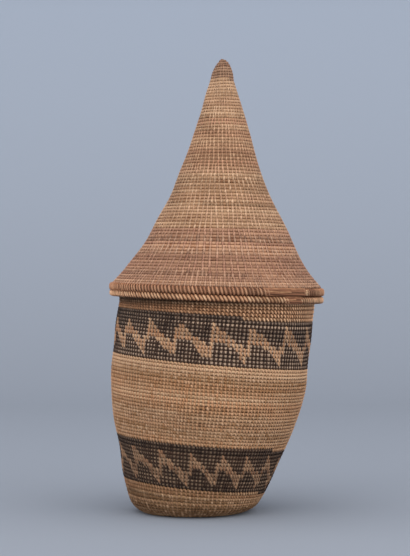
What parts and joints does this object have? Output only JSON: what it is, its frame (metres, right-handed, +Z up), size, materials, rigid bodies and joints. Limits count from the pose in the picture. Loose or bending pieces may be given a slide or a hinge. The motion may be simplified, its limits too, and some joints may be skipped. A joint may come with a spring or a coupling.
{
  "type": "lidded coiled basket",
  "caption": "Tall coiled grass basket with a pointed lift-off lid and zigzags in dark bands.",
  "frame": {"origin": "on the surface that the basket stands on, under the centre of the lid's rim", "axes": "+Z up; +X to the side that the basket and its lid lean to; -Y towards the viewer"},
  "size_m": [0.1544, 0.1545, 0.3266],
  "materials": {
    "honey_strand": "honey-brown sewing strand, worn, matt",
    "dark_strand": "dyed brown-black sewing strand, matt",
    "pale_strand": "undyed sewing strand of the zigzags, matt",
    "straw_strand": "straw-coloured sewing strand, matt with a faint sheen",
    "bare_grass": "bare bundle of fine grass, matt",
    "rim_pale_strip": "pale binding strip, slightly polished by handling",
    "rim_red_strip": "reddish binding strip, slightly polished by handling",
    "russet_strand": "reddish straw sewing strand, matt",
    "tan_strand": "tan sewing strand, matt",
    "brown_strand": "handled brown strand at the tip, matt"
  },
  "bodies": {
    "basket": {"base_start_coil": "honey_strand", "base_disc": "honey_strand", "base_heel": "honey_strand", "foot_band": "honey_strand", "lower_band_dark_lower": "dark_strand", "lower_band_zigzag": "pale_strand", "lower_band_dark_upper": "dark_strand", "belly_band": "straw_strand", "upper_band_dark_lower": "dark_strand", "upper_band_zigzag": "pale_strand", "upper_band_dark_upper": "dark_strand", "neck_band": "honey_strand", "mouth_coil": "honey_strand"},
    "lid": {"lid_rim_lower_core": "bare_grass", "lid_rim_lower_binding": "rim_pale_strip", "lid_rim_upper_core": "bare_grass", "lid_rim_upper_binding": "rim_red_strip", "lid_flare_band": "russet_strand", "lid_russet_band": "russet_strand", "lid_lower_straw_band": "straw_strand", "lid_tan_band": "tan_strand", "lid_upper_straw_band": "straw_strand", "lid_tip": "brown_strand"}
  },
  "joints": [
    {"name": "lid_lift", "type": "slide", "parent": "basket", "child": "lid", "axis": [0.0262, 0, 0.9997], "range_m": [0, 0.15]}
  ]
}
